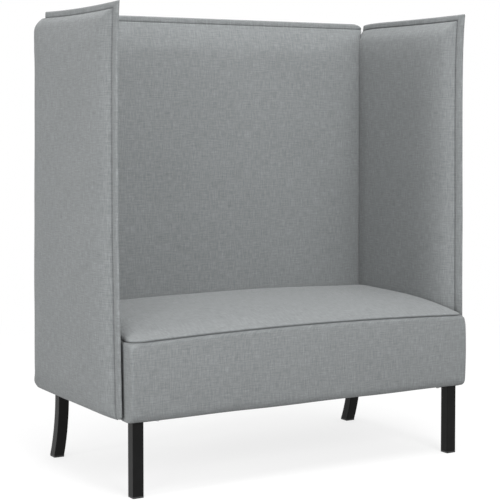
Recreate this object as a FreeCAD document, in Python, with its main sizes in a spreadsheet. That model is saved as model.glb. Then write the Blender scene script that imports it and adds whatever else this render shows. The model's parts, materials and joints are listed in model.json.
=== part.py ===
"""High-back sofa: three upholstered panels with sewn flanges round a box seat on four steel legs.

Millimetres, +Z up, the seat faces -Y, the floor is Z = 0.
"""
import FreeCAD, Part
import math
import os
import re

import Sketcher

# Driving sizes in millimetres
SIZES = {
    # Whole sofa
    "overall_width": 1280,
    "overall_depth": 646,
    "overall_height": 1400,
    "underside_height": 224,
    "fit_gap": 0.4,
    # Upholstered panels: how far the pads swell from the plane of the flange
    "inner_swell": 22,
    "outer_swell": 35,
    "flange_depth": 20,
    "front_flange": 27,
    "flange_thick": 14,
    "cover_thick": 2,
    "soft_gap": 0.3,
    "seat_overhang": 41,
    "heel_overhang": 7,
    "corner_notch": 9,
    "draw_in": 8,
    "edge_roll": 60,
    "rear_roll": 36,
    "bottom_roll": 30,
    "corner_spread": 30,
    "front_corner": 6,
    "rear_corner": 42,
    "back_corner": 14,
    "ear_reach": 7,
    "ear_drop": 50,
    "slot_width": 9,
    # Panel frames
    "board_thick": 3,
    "rail_thick": 19,
    "rail_width": 60,
    "bottom_rail_height": 120,
    "frame_inset": 20,
    "front_inset": 32,
    "joint_gap": 0.1,
    # Seat
    "seam_height": 452,
    "crown_rise": 48,
    "seat_corner": 16,
    "seat_rear_corner": 3,
    "front_crown": 270,
    "side_crown": 200,
    "rear_crown": 120,
    "crown_spread": 90,
    "seat_rail_thick": 25,
    "seat_rail_height": 124,
    "front_pad_thick": 12,
    "border_lap": 26,
    "dust_thick": 1,
    "dust_margin": 12,
    "webbing_width": 60,
    "webbing_thick": 2,
    "block_leg": 90,
    "block_nose": 20,
    "block_height": 70,
    # Legs
    "leg_section": 34,
    "leg_wall": 2,
    "leg_corner": 2.5,
    "leg_spread": 1144,
    "front_leg_setback": 34,
    "rear_leg_back": 278,
    "bend_height": 212,
    "glide_height": 5,
    "glide_stem": 15,
    "glide_gap": 0.2,
    "plate_thick": 5,
    "plate_size": 88,
    "plate_side_margin": 3,
    "plate_lead": 11,
    "plate_rear_margin": 1,
    # Fasteners
    "bolt_radius": 4,
    "bolt_head_radius": 7,
    "bolt_head_thick": 5,
    "nut_radius": 6,
    "nut_length": 14,
    "side_bolt_reach": 120,
    "bolt_low": 38,
    "bolt_high": 98,
    "back_bolt_inner": 140,
    "back_bolt_outer": 420,
    "pin_radius": 5,
    "pin_grip": 28,
    "screw_radius": 2.5,
    "screw_head_radius": 4.5,
    "screw_head_thick": 3,
    "screw_length": 35,
    "screw_edge": 12,
    "screw_lead": 8,
    "screw_inset": 9,
    "bore_gap": 0.2,
}

doc = FreeCAD.newDocument("high_back_sofa")
sheet = doc.addObject("Spreadsheet::Sheet", "Sizes")
for row, (alias, number) in enumerate(SIZES.items(), 1):
    sheet.set(f"A{row}", alias)
    sheet.set(f"B{row}", str(number))
    sheet.setAlias(f"B{row}", alias)
doc.recompute()

# Planes that the sub-parts share, as expressions in the names of the sheet
SIDE_FLANGE = "(overall_width / 2 - outer_swell)"
SEAT_HALF = "(overall_width / 2 - outer_swell - inner_swell - fit_gap)"
FRONT = "(-overall_depth / 2)"
REAR = "(overall_depth / 2 - heel_overhang)"
BACK_FLANGE = f"({REAR} - outer_swell)"
SEAT_REAR = f"({BACK_FLANGE} - inner_swell - fit_gap)"
SIDE_FRONT = f"({FRONT} + seat_overhang + front_flange)"
PANEL_TOP = "(overall_height - flange_depth)"
HALF_FLANGE = "(flange_thick / 2)"
LINING = "(cover_thick + soft_gap)"
FRAME_LOW = "(underside_height + frame_inset)"
FRAME_HIGH = f"({PANEL_TOP} - frame_inset)"
FRAME_OUT = f"(rail_thick + 2 * board_thick - {HALF_FLANGE})"
SEAT_LOW = f"(underside_height + {LINING})"
SEAT_RAIL_TOP = f"({SEAT_LOW} + seat_rail_height)"
SEAT_IN = f"({SEAT_HALF} - {LINING})"
SIDE_RAIL_IN = f"({SEAT_IN} - seat_rail_thick)"
FRONT_RAIL = f"({FRONT} + {LINING} + front_pad_thick)"
REAR_RAIL = f"({SEAT_REAR} - {LINING})"
PLATE_LOW = "(underside_height - dust_thick - plate_thick)"
LEG_OUT = "(leg_spread / 2)"
LEG_IN = "(leg_spread / 2 - leg_section)"
FRONT_LEG = f"({FRONT} + front_leg_setback)"
HEEL_SWEEP = "(overall_depth / 2 - rear_leg_back)"
HEEL_DROP = "(bend_height - glide_height)"
HEEL_RADIUS = f"(({HEEL_DROP} ^ 2 + {HEEL_SWEEP} ^ 2) / (2 * {HEEL_SWEEP}))"
FAR = "(overall_width + overall_height)"


def bind(text):
    """The expression with every size name pointed at its cell."""
    return re.sub(r"[a-z_]{3,}", lambda m: f"Sizes.{m[0]}" if m[0] in SIZES else m[0], text)


def value(text):
    return float(sheet.evalExpression(bind(text)))


# Sketches and solids

def arc_between(start, end, radius, outward):
    """The arc under a half circle from start to end, bulging to the right of travel when outward."""
    chord = end - start
    side = FreeCAD.Vector(-chord.y, chord.x, 0).normalize()
    reach = math.sqrt(max(radius ** 2 - (chord.Length / 2) ** 2, 0))
    centre = start + chord * 0.5 + side * (reach if outward else -reach)
    first, last = (start, end) if outward else (end, start)
    angles = [math.atan2(p.y - centre.y, p.x - centre.x) for p in (first, last)]
    circle = Part.Circle(centre, FreeCAD.Vector(0, 0, 1), radius)
    return Part.ArcOfCircle(circle, angles[0], angles[1])


def draw(sketch, corners, closed=True):
    """Lines and arcs through corners (across, up, bend); bend is None, ("out", r) or ("in", r)."""
    places = [FreeCAD.Vector(value(across), value(up), 0) for across, up, _ in corners]
    count = len(corners) if closed else len(corners) - 1
    ends = []
    for index in range(count):
        start, end = places[index], places[(index + 1) % len(places)]
        bend = corners[index][2]
        if bend is None:
            edge = sketch.addGeometry(Part.LineSegment(start, end))
            ends.append((edge, 1, 2))
            continue
        outward = bend[0] == "out"
        edge = sketch.addGeometry(arc_between(start, end, value(bend[1]), outward))
        ends.append((edge, 1, 2) if outward else (edge, 2, 1))
        radius = sketch.addConstraint(Sketcher.Constraint("Radius", edge, value(bend[1])))
        sketch.setExpression(f"Constraints[{radius}]", bind(bend[1]))
    for index in range(count if closed else count - 1):
        edge, _, tail = ends[index]
        after, head, _ = ends[(index + 1) % count]
        sketch.addConstraint(Sketcher.Constraint("Coincident", edge, tail, after, head))
    for index, (across, up, _) in enumerate(corners):
        edge, head, tail = ends[min(index, count - 1)]
        point = head if index < count else tail
        for kind, text in (("DistanceX", across), ("DistanceY", up)):
            fixed = sketch.addConstraint(Sketcher.Constraint(kind, -1, 1, edge, point, value(text)))
            sketch.setExpression(f"Constraints[{fixed}]", bind(text))


def sketch_in(body, plane, level, corners, closed=True):
    sketch = body.newObject("Sketcher::SketchObject", f"{body.Name}_sketch")
    support = next(f for f in body.Origin.OriginFeatures if f.Role == plane)
    sketch.AttachmentSupport = (support, [""])
    sketch.MapMode = "FlatFace"
    sketch.setExpression("AttachmentOffset.Base.z", bind(level))
    draw(sketch, corners, closed)
    sketch.recompute()
    return sketch


def pad(body, plane, level, length, corners):
    feature = body.newObject("PartDesign::Pad", f"{body.Name}_pad")
    feature.Profile = sketch_in(body, plane, level, corners)
    feature.setExpression("Length", bind(length))
    body.Tip = feature


def loft(body, plane, sections):
    """A solid through (level, corners) sections on planes parallel to one of the body's own."""
    sketches = [sketch_in(body, plane, level, corners) for level, corners in sections]
    feature = body.newObject("PartDesign::AdditiveLoft", f"{body.Name}_loft")
    feature.Profile = sketches[0]
    feature.Sections = sketches[1:]
    feature.Ruled = True
    body.Tip = feature


def pipe(body, section, path):
    """A section on XY carried along a path on YZ."""
    feature = body.newObject("PartDesign::AdditivePipe", f"{body.Name}_pipe")
    feature.Profile = section
    feature.Spine = (path, [f"Edge{n + 1}" for n in range(path.GeometryCount)])
    body.Tip = feature


def new_body(name):
    return doc.addObject("PartDesign::Body", name)


def box(name, low, high):
    block = doc.addObject("Part::Box", name)
    for axis, side, start, end in zip("xyz", ("Length", "Width", "Height"), low, high):
        block.setExpression(f"Placement.Base.{axis}", bind(start))
        block.setExpression(side, bind(f"({end}) - ({start})"))
    return block


TURN = {
    "x": FreeCAD.Rotation(FreeCAD.Vector(0, 1, 0), 90),
    "y": FreeCAD.Rotation(FreeCAD.Vector(1, 0, 0), -90),
    "z": FreeCAD.Rotation(),
}


def rod(name, axis, start, length, radius):
    bar = doc.addObject("Part::Cylinder", name)
    bar.Placement = FreeCAD.Placement(FreeCAD.Vector(), TURN[axis])
    for letter, text in zip("xyz", start):
        bar.setExpression(f"Placement.Base.{letter}", bind(text))
    bar.setExpression("Height", bind(length))
    bar.setExpression("Radius", bind(radius))
    return bar


def cut(name, base, tool):
    result = doc.addObject("Part::Cut", name)
    result.Base, result.Tool = base, tool
    return result


def common(name, base, tool):
    result = doc.addObject("Part::Common", name)
    result.Base, result.Tool = base, tool
    return result


def fuse(name, shapes):
    result = doc.addObject("Part::MultiFuse", name)
    result.Shapes = shapes
    return result


def group(name, shapes):
    result = doc.addObject("Part::Compound", name)
    result.Links = shapes
    return result


def mirrored(name, source, normal=(1, 0, 0)):
    result = doc.addObject("Part::Mirroring", name)
    result.Source = source
    result.Normal = FreeCAD.Vector(*normal)
    return result


# Soft outlines

def drawn_radius(chord):
    return f"(({chord}) ^ 2 / 4 + draw_in ^ 2) / (2 * draw_in)"


def rounded(edges, inset, radii, drawn=()):
    """Corners of a rounded rectangle whose named edges are drawn in between their ends."""
    left, right = f"({edges[0]} + {inset[0]})", f"({edges[1]} - {inset[1]})"
    low, high = f"({edges[2]} + {inset[2]})", f"({edges[3]} - {inset[3]})"
    south_west, south_east, north_east, north_west = radii

    def edge(name, chord):
        return ("in", drawn_radius(chord)) if name in drawn else None

    return [
        (f"{left} + {south_west}", low, edge("low", f"{right} - {left} - {south_west} - {south_east}")),
        (f"{right} - {south_east}", low, ("out", south_east)),
        (right, f"{low} + {south_east}", edge("right", f"{high} - {low} - {south_east} - {north_east}")),
        (right, f"{high} - {north_east}", ("out", north_east)),
        (f"{right} - {north_east}", high, edge("high", f"{right} - {left} - {north_east} - {north_west}")),
        (f"{left} + {north_west}", high, ("out", north_west)),
        (left, f"{high} - {north_west}", edge("left", f"{high} - {low} - {north_west} - {south_west}")),
        (left, f"{low} + {south_west}", ("out", south_west)),
    ]


# Share of the roll and share of the height at each section of a pad's swell
PANEL_SWELL = [(0, 0), (0.04, 0.22), (0.16, 0.48), (0.38, 0.72), (0.7, 0.88), (1.2, 0.97), (2.4, 1)]
SEAT_SWELL = [(0, 0), (0.02, 0.15), (0.06, 0.29), (0.14, 0.46), (0.28, 0.67), (0.5, 0.86), (0.75, 0.96),
              (1, 1)]


def swollen(edges, rolls, radii, drawn, spread, shrink, start, rise, profile):
    """Sections of a pad that swells from a level, its edges rolled over and its corners eased."""
    sections = []
    for share, height in profile:
        inset = [f"({shrink} + {share} * {roll})" for roll in rolls]
        eased = [f"({radius} - {shrink} + {share} * {spread})" for radius in radii]
        sections.append((f"{start} + ({rise}) * {height}", rounded(edges, inset, eased, drawn)))
    return sections


def panel_form(name, panel, shrink):
    """The padded form of a panel, taken in by shrink all round."""
    body = new_body(name)
    plane, flange = panel["plane"], panel["flange"]
    shape = (panel["edges"], panel["rolls"], panel["radii"], panel["drawn"], "corner_spread", shrink)
    corners = [f"({radius} - {shrink})" for radius in panel["radii"]]
    base = rounded(panel["edges"], [shrink] * 4, corners, panel["drawn"])
    pad(body, plane, f"{flange} - {HALF_FLANGE}", "flange_thick", base)
    inner_rise = f"inner_swell - {shrink} - {HALF_FLANGE}"
    outer_rise = f"-(outer_swell - {shrink} - {HALF_FLANGE})"
    loft(body, plane, swollen(*shape, f"{flange} + {HALF_FLANGE}", inner_rise, PANEL_SWELL))
    loft(body, plane, swollen(*shape, f"{flange} - {HALF_FLANGE}", outer_rise, PANEL_SWELL))
    return body


def seat_form(name, shrink):
    body = new_body(name)
    edges = (f"-{SEAT_HALF}", SEAT_HALF, FRONT, SEAT_REAR)
    radii = ["seat_corner", "seat_corner", "seat_rear_corner", "seat_rear_corner"]
    rolls = ("side_crown", "side_crown", "front_crown", "rear_crown")
    base = rounded(edges, [shrink] * 4, [f"({r} - {shrink})" for r in radii])
    low = f"(underside_height + {shrink})"
    pad(body, "XY_Plane", low, f"seam_height - {low}", base)
    shape = (edges, rolls, radii, (), "crown_spread", shrink)
    loft(body, "XY_Plane", swollen(*shape, "seam_height", f"crown_rise - {shrink}", SEAT_SWELL))
    return body


# Holes are shared by everything that a fastener passes through

def side_bolt_places():
    middle = f"({FRONT} + {SEAT_REAR}) / 2"
    return [(f"{middle} {sign} side_bolt_reach", f"underside_height + {height}")
            for sign in "-+" for height in ("bolt_low", "bolt_high")]


NUT_START = f"({SIDE_FLANGE} - {HALF_FLANGE} + board_thick + 2)"
NUT_END = f"({NUT_START} + nut_length)"
SIDE_SHANK = f"{NUT_END} - {SIDE_RAIL_IN}"
BACK_NUT_END = f"({BACK_FLANGE} - {HALF_FLANGE} + board_thick + 2 + nut_length)"
BACK_SHANK_START = f"({REAR_RAIL} - seat_rail_thick)"
BACK_SHANK = f"{BACK_NUT_END} - {BACK_SHANK_START}"
BACK_BOLT_HEIGHT = "underside_height + (bolt_low + bolt_high) / 2"
BACK_BOLT_PLACES = ("-back_bolt_outer", "-back_bolt_inner", "back_bolt_inner", "back_bolt_outer")
PIN_START = f"({SEAT_HALF} - frame_inset - pin_grip)"
PIN_END = f"({SIDE_FLANGE} + {FRAME_OUT} - board_thick - joint_gap - 5)"
PIN_DEPTH = f"({BACK_FLANGE} - {HALF_FLANGE} + board_thick + rail_thick / 2)"
PIN_HEIGHTS = [f"underside_height + {share} * (overall_height - underside_height)"
               for share in (0.25, 0.56, 0.88)]


def side_rods(name, start, length, radius):
    """One rod along X at each left-hand bolt, from start outwards."""
    return [rod(f"{name}_{n}", "x", (f"-({start} + {length})", y, z), length, radius)
            for n, (y, z) in enumerate(side_bolt_places())]


def back_rods(name, start, length, radius):
    return [rod(f"{name}_{n}", "y", (x, start, BACK_BOLT_HEIGHT), length, radius)
            for n, x in enumerate(BACK_BOLT_PLACES)]


def pin_rods(name, radius):
    return [rod(f"{name}_{n}", "x", (f"-{PIN_END}", PIN_DEPTH, z), f"{PIN_END} - {PIN_START}", radius)
            for n, z in enumerate(PIN_HEIGHTS)]


BOLT_BORE = "bolt_radius + bore_gap"
side_bores = side_rods("side_bore", SIDE_RAIL_IN, SIDE_SHANK, BOLT_BORE)
nut_bores = side_rods("nut_bore", f"({NUT_START} - 3)", "(nut_length + 3)", "nut_radius")
back_bores = back_rods("back_bore", BACK_SHANK_START, BACK_SHANK, BOLT_BORE)
back_nut_bores = back_rods("back_nut_bore", f"({BACK_NUT_END} - nut_length - 3)", "(nut_length + 3)",
                           "nut_radius")
pin_bores = pin_rods("pin_bore", "pin_radius + bore_gap")
left_bores = group("left_bores", side_bores + pin_bores)
side_bore_tool = group("side_bore_tool", side_bores)
nut_bore_tool = group("nut_bore_tool", nut_bores)
back_bore_tool = group("back_bore_tool", back_bores)
back_nut_tool = group("back_nut_tool", back_nut_bores)
pin_tool = group("pin_tool", pin_bores)
pin_tool_right = mirrored("pin_tool_right", pin_tool)
back_cover_bores = group("back_cover_bores", [back_bore_tool, pin_tool, pin_tool_right])

nodes = {}


def keep(name, shape):
    shape.Label = name
    nodes[name] = shape
    return shape


def keep_pair(name, shape):
    keep(f"left_{name}", shape)
    keep(f"right_{name}", mirrored(f"right_{name}", shape))


# Panels, both drawn from the outside in: level runs along the plane's own normal
left_panel = {
    "plane": "YZ_Plane",
    "flange": f"-{SIDE_FLANGE}",
    "edges": (SIDE_FRONT, REAR, "underside_height", PANEL_TOP),
    "rolls": ("edge_roll", "rear_roll", "bottom_roll", "edge_roll"),
    "radii": ("front_corner", "rear_corner", "rear_corner", "front_corner"),
    "insets": ("front_inset", "frame_inset", "frame_inset", "frame_inset"),
    "drawn": ("left", "high"),
}
back_panel = {
    "plane": "XZ_Plane",
    "flange": f"-{BACK_FLANGE}",
    "edges": (f"-{SEAT_HALF}", SEAT_HALF, "underside_height", PANEL_TOP),
    "rolls": ("edge_roll", "edge_roll", "bottom_roll", "edge_roll"),
    "radii": ("back_corner",) * 4,
    "insets": ("frame_inset",) * 4,
    "drawn": (),
}
SIDE_FLANGE_END = f"({BACK_FLANGE} - {HALF_FLANGE} - corner_notch)"
left_flange_outline = rounded(
    (f"{SIDE_FRONT} - front_flange", SIDE_FLANGE_END, "underside_height", "overall_height"),
    ("0", "0", "flange_thick / 2", "0"),
    ("12", "front_corner", "front_corner", "front_corner"), ("left", "high"))
EAR_END = f"({SEAT_HALF} + ear_reach)"
EAR_RADIUS = "(flange_depth + 2)"
back_flange_outline = [
    (f"-{SEAT_HALF}", f"{PANEL_TOP} - 2 * ear_drop", None),
    (SEAT_HALF, f"{PANEL_TOP} - 2 * ear_drop", None),
    (SEAT_HALF, "overall_height - ear_drop", None),
    (EAR_END, f"overall_height - {EAR_RADIUS} - 4", None),
    (EAR_END, f"overall_height - {EAR_RADIUS}", ("out", EAR_RADIUS)),
    (f"{EAR_END} - {EAR_RADIUS}", "overall_height", None),
    (f"-{EAR_END} + {EAR_RADIUS}", "overall_height", ("out", EAR_RADIUS)),
    (f"-{EAR_END}", f"overall_height - {EAR_RADIUS}", None),
    (f"-{EAR_END}", f"overall_height - {EAR_RADIUS} - 4", None),
    (f"-{SEAT_HALF}", "overall_height - ear_drop", None),
]


def across(panel, low, high, start, end):
    """Two corners of a block: along the panel, its heights, and how far out from the flange."""
    if panel["plane"] == "YZ_Plane":
        x = (f"-{SIDE_FLANGE} - ({end})", f"-{SIDE_FLANGE} - ({start})")
        return (x[0], low[0], low[1]), (x[1], high[0], high[1])
    y = (f"{BACK_FLANGE} + {start}", f"{BACK_FLANGE} + {end}")
    return (low[0], y[0], low[1]), (high[0], y[1], high[1])


def soft_pieces(name, panel, outline):
    """Sewn cover with its flange, and the two foam pads inside it."""
    flange = new_body(f"{name}_flange")
    pad(flange, panel["plane"], f"{panel['flange']} - {HALF_FLANGE}", "flange_thick", outline)
    sewn = fuse(f"{name}_sewn", [panel_form(f"{name}_outside", panel, "0"), flange])
    bag = cut(f"{name}_bag", sewn, panel_form(f"{name}_inside", panel, "cover_thick"))
    left, right = panel["edges"][:2]
    slot_low = (f"{left} + 4 * frame_inset", "underside_height - 1")
    slot_high = (f"{right} - 4 * frame_inset - rear_corner", f"{FRAME_LOW} - 2")
    slot = box(f"{name}_slot", *across(panel, slot_low, slot_high, "1", "1 + slot_width"))
    filling = panel_form(f"{name}_filling", panel, LINING)
    pads = []
    for side, start, end in (("inner", "-2 * inner_swell", f"-{HALF_FLANGE}"),
                             ("outer", f"-{HALF_FLANGE}", "2 * outer_swell")):
        zone = across(panel, (f"-{FAR}", "0"), (FAR, FAR), start, end)
        pads.append(common(f"{name}_{side}_pad", filling, box(f"{name}_{side}_zone", *zone)))
    inner, outer = pads
    core = frame_blank(f"{name}_core", panel, f"-({FRAME_OUT})", f"{FRAME_OUT} + {HALF_FLANGE}")
    return cut(f"{name}_open_bag", bag, slot), inner, cut(f"{name}_wrapped_pad", outer, core)


def frame_blank(name, panel, start, thick):
    """A board with the panel's own eased corners, from start towards the inside of the sofa."""
    body = new_body(name)
    radii = [f"({r} + 2 - frame_inset)" if r == "rear_corner" else "2" for r in panel["radii"]]
    outline = rounded(panel["edges"], panel["insets"], radii)
    pad(body, panel["plane"], f"{panel['flange']} + {start}", thick, outline)
    return body


def lapped(name, panel, blank, low, high, laps, half):
    """A frame member, half its thickness taken away where others cross it."""
    middle = f"{HALF_FLANGE} - board_thick - rail_thick / 2"
    back_half = (f"-({HALF_FLANGE}) + board_thick", f"-({middle}) + joint_gap / 2")
    front_half = (f"-({middle}) - joint_gap / 2", f"{FRAME_OUT} - board_thick")
    member = box(f"{name}_bar", *across(panel, low, high, back_half[0], front_half[1]))
    taken = back_half if half == "inner" else front_half
    notches = [box(f"{name}_lap_{n}", *across(panel, *lap, *taken)) for n, lap in enumerate(laps)]
    return common(f"{name}_cut", cut(f"{name}_lapped", member, group(f"{name}_laps", notches)), blank)


def frame(name, panel, uprights, cross_rails):
    """Stiles and rails of one panel, half-lapped where they cross."""
    blank = frame_blank(f"{name}_frame_blank", panel, f"-({FRAME_OUT})", f"{FRAME_OUT} + {HALF_FLANGE}")
    end = (f"{panel['edges'][0]} + {panel['insets'][0]}", f"{panel['edges'][1]} - {panel['insets'][1]}")
    stiles = {key: ((low, FRAME_LOW), (high, FRAME_HIGH)) for key, (low, high) in uprights.items()}
    rails = {key: ((end[0], low), (end[1], high)) for key, (low, high) in cross_rails.items()}
    members = {}
    for key, (low, high) in stiles.items():
        laps = [((low[0], rail[0][1]), (high[0], rail[1][1])) for rail in rails.values()]
        members[key] = lapped(f"{name}_{key}", panel, blank, low, high, laps, "inner")
    for key, (low, high) in rails.items():
        laps = [((stile[0][0], low[1]), (stile[1][0], high[1])) for stile in stiles.values()]
        members[key] = lapped(f"{name}_{key}", panel, blank, low, high, laps, "outer")
    return members


MID_RAIL = f"(({FRAME_LOW} + {FRAME_HIGH}) / 2)"
RAILS = {
    "bottom_rail": (FRAME_LOW, f"{FRAME_LOW} + bottom_rail_height"),
    "top_rail": (f"{FRAME_HIGH} - rail_width", FRAME_HIGH),
}
SIDE_RAILS = {**RAILS, "middle_rail": (f"{MID_RAIL} - rail_width / 2", f"{MID_RAIL} + rail_width / 2")}
SIDE_STILES = {
    "front_stile": (f"{SIDE_FRONT} + front_inset", f"{SIDE_FRONT} + front_inset + rail_width"),
    "rear_stile": (f"{REAR} - frame_inset - rail_width", f"{REAR} - frame_inset"),
}
BACK_END = f"({SEAT_HALF} - frame_inset)"
BACK_STILES = {
    "left_stile": (f"-{BACK_END}", f"-{BACK_END} + rail_width"),
    "centre_stile": ("-rail_width / 2", "rail_width / 2"),
    "right_stile": (f"{BACK_END} - rail_width", BACK_END),
}

cover, inner_foam, outer_foam = soft_pieces("left", left_panel, left_flange_outline)
keep_pair("cover", cut("left_bored_cover", cover, left_bores))
keep_pair("inner_foam", cut("left_bored_foam", inner_foam, left_bores))
keep_pair("outer_foam", outer_foam)
inner_board = frame_blank("left_inner_sheet", left_panel, f"{HALF_FLANGE} - board_thick", "board_thick")
keep_pair("inner_board", cut("left_bored_board", inner_board, left_bores))
keep_pair("outer_board", frame_blank("left_outer_sheet", left_panel, f"-({FRAME_OUT})", "board_thick"))
side_frame = frame("left", left_panel, SIDE_STILES, SIDE_RAILS)
side_frame["bottom_rail"] = cut("left_bored_rail", side_frame["bottom_rail"], nut_bore_tool)
side_frame["rear_stile"] = cut("left_bored_stile", side_frame["rear_stile"], left_bores)
for key, member in side_frame.items():
    keep_pair(key, member)

cover, inner_foam, outer_foam = soft_pieces("back", back_panel, back_flange_outline)
keep("back_cover", cut("back_bored_cover", cover, back_cover_bores))
keep("back_inner_foam", cut("back_bored_foam", inner_foam, back_cover_bores))
keep("back_outer_foam", cut("back_bored_wrap", outer_foam, back_cover_bores))
inner_board = frame_blank("back_inner_sheet", back_panel, f"{HALF_FLANGE} - board_thick", "board_thick")
keep("back_inner_board", cut("back_bored_board", inner_board, back_bore_tool))
keep("back_outer_board", frame_blank("back_outer_sheet", back_panel, f"-({FRAME_OUT})", "board_thick"))
back_frame = frame("back", back_panel, BACK_STILES, RAILS)
back_frame["bottom_rail"] = cut("back_bored_rail", back_frame["bottom_rail"], back_nut_tool)
for side, tool in (("left", pin_tool), ("right", pin_tool_right)):
    stile = f"{side}_stile"
    back_frame[stile] = cut(f"back_bored_{stile}", back_frame[stile], tool)
for key, member in back_frame.items():
    keep(f"back_{key}", member)

# Leg screws stand in an L round the outer corner of each plate
PLATE_OUT = f"({LEG_OUT} + plate_side_margin)"
PLATE_IN = f"({PLATE_OUT} - plate_size)"
FRONT_PLATE = (f"({FRONT_LEG} - plate_lead)", f"({FRONT_LEG} - plate_lead + plate_size)")
REAR_PLATE = ("(rear_leg_back + plate_rear_margin - plate_size)", "(rear_leg_back + plate_rear_margin)")
REAR_SCREW = f"({REAR_RAIL} - seat_rail_thick / 2)"
SCREW_SPOTS = [
    (f"-{PLATE_IN} - screw_inset", f"{FRONT_PLATE[0]} + screw_lead"),
    (f"-{PLATE_IN} - screw_inset", f"{FRONT_PLATE[1]} - screw_edge"),
    (f"-{PLATE_OUT} + screw_edge", f"{FRONT_PLATE[1]} - screw_edge"),
    (f"-{PLATE_IN} - screw_inset", REAR_SCREW),
    (f"-{PLATE_IN} - screw_inset", f"{REAR_PLATE[0]} + screw_edge"),
    (f"-{PLATE_OUT} + screw_edge", f"{REAR_PLATE[0]} + screw_edge"),
]


def screw_rods(name, start, length, radius):
    return [rod(f"{name}_{n}", "z", (x, y, start), length, radius) for n, (x, y) in enumerate(SCREW_SPOTS)]


screw_bores_left = group("screw_bores_left", screw_rods("screw_bore", PLATE_LOW, "screw_length",
                                                        "screw_radius + bore_gap"))
screw_bores = group("screw_bores", [screw_bores_left, mirrored("screw_bores_right", screw_bores_left)])

# Seat frame
for name, low, high in (("front", FRONT_RAIL, f"{FRONT_RAIL} + seat_rail_thick"),
                        ("rear", f"{REAR_RAIL} - seat_rail_thick", REAR_RAIL)):
    rail = box(f"seat_{name}_bar", (f"-{SEAT_IN}", low, SEAT_LOW), (SEAT_IN, high, SEAT_RAIL_TOP))
    tools = group(f"seat_{name}_bores", [screw_bores] + ([back_bore_tool] if name == "rear" else []))
    keep(f"seat_{name}_rail", cut(f"seat_{name}_bored", rail, tools))
SIDE_RAIL_SPAN = (f"{FRONT_RAIL} + seat_rail_thick", f"{REAR_RAIL} - seat_rail_thick")
side_bar = box("seat_side_bar", (f"-{SEAT_IN}", SIDE_RAIL_SPAN[0], SEAT_LOW),
               (f"-{SIDE_RAIL_IN}", SIDE_RAIL_SPAN[1], SEAT_RAIL_TOP))
side_tools = group("seat_side_bores", [screw_bores_left, side_bore_tool])
side_rail = cut("seat_side_bored", side_bar, side_tools)
keep("seat_left_rail", side_rail)
keep("seat_right_rail", mirrored("seat_right_bored", side_rail))
keep("seat_centre_rail", box("seat_centre_bar", ("-seat_rail_thick / 2", SIDE_RAIL_SPAN[0], SEAT_LOW),
                             ("seat_rail_thick / 2", SIDE_RAIL_SPAN[1], f"{SEAT_RAIL_TOP} - rail_thick")))


def corner_block(name, edge, sign):
    """A glue block in a corner of the seat frame, its long side facing the middle."""
    body = new_body(name)
    side = f"-{SIDE_RAIL_IN}"
    outline = [
        (side, edge, None),
        (f"{side} + block_leg", edge, None),
        (f"{side} + block_leg", f"{edge} + {sign} * block_nose", None),
        (f"{side} + block_nose", f"{edge} + {sign} * block_leg", None),
        (side, f"{edge} + {sign} * block_leg", None),
    ]
    pad(body, "XY_Plane", SEAT_LOW, "block_height", outline)
    return cut(f"{name}_bored", body, screw_bores_left)


blocks = [corner_block("front_block", SIDE_RAIL_SPAN[0], "1"),
          corner_block("rear_block", SIDE_RAIL_SPAN[1], "-1")]
blocks += [mirrored(f"{block.Name}_right", block) for block in blocks]
keep("corner_blocks", group("corner_block_set", blocks))

# Webbing, the crosswise straps over the lengthwise ones
STRAPS_ALONG = [f"{FRONT} + {share} * ({SEAT_REAR} - {FRONT})" for share in (0.25, 0.5, 0.75)]
STRAPS_ACROSS = [f"{share} * {SEAT_HALF}" for share in (-0.78, -0.52, -0.26, 0, 0.26, 0.52, 0.78)]
along = [box(f"strap_along_{n}", (f"-{SEAT_IN}", f"{y} - webbing_width / 2", SEAT_RAIL_TOP),
             (SEAT_IN, f"{y} + webbing_width / 2", f"{SEAT_RAIL_TOP} + webbing_thick"))
         for n, y in enumerate(STRAPS_ALONG)]
STRAP_LOW = f"({SEAT_RAIL_TOP} + webbing_thick)"
straps = [box(f"strap_across_{n}", (f"{x} - webbing_width / 2", FRONT_RAIL, STRAP_LOW),
              (f"{x} + webbing_width / 2", REAR_RAIL, f"{STRAP_LOW} + webbing_thick"))
          for n, x in enumerate(STRAPS_ACROSS)]
keep("webbing_lengthwise", group("lengthwise_set", along))
keep("webbing_crosswise", group("crosswise_set", straps))

# Seat upholstery
FOAM_LOW = f"({STRAP_LOW} + webbing_thick + soft_gap)"
seat_skin = cut("seat_skin", seat_form("seat_outside", "0"), seat_form("seat_inside", "cover_thick"))
above = box("above_seam", (f"-{FAR}", f"-{FAR}", "seam_height"), (FAR, FAR, "2 * seam_height"))
below = box("below_seam", (f"-{FAR}", f"-{FAR}", "0"), (FAR, FAR, "seam_height"))
keep("seat_top_cover", common("seat_top", seat_skin, above))
BORDER_OPEN = ((f"-{SEAT_HALF} + border_lap", f"{FRONT} + border_lap", "underside_height - 1"),
               (f"{SEAT_HALF} - border_lap", f"{SEAT_REAR} - border_lap", SEAT_LOW))
border_blank = common("seat_border", seat_skin, below)
border = cut("seat_border_open", border_blank, box("border_opening", *BORDER_OPEN))
side_bores_right = mirrored("side_bores_right", side_bore_tool)
border_tools = group("border_tools", [screw_bores, side_bore_tool, side_bores_right, back_bore_tool])
keep("seat_border_cover", cut("seat_border_bored", border, border_tools))
foam_zone = box("foam_zone", (f"-{FAR}", f"-{FAR}", FOAM_LOW), (FAR, FAR, "2 * seam_height"))
keep("seat_foam", common("seat_foam_block", seat_form("seat_filling", LINING), foam_zone))
FRONT_STRIP = ((f"-{SEAT_IN} + seat_corner", f"{FRONT} + {LINING}", SEAT_LOW),
               (f"{SEAT_IN} - seat_corner", FRONT_RAIL, f"{FOAM_LOW} - soft_gap"))
keep("seat_front_padding", box("seat_front_strip", *FRONT_STRIP))
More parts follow.
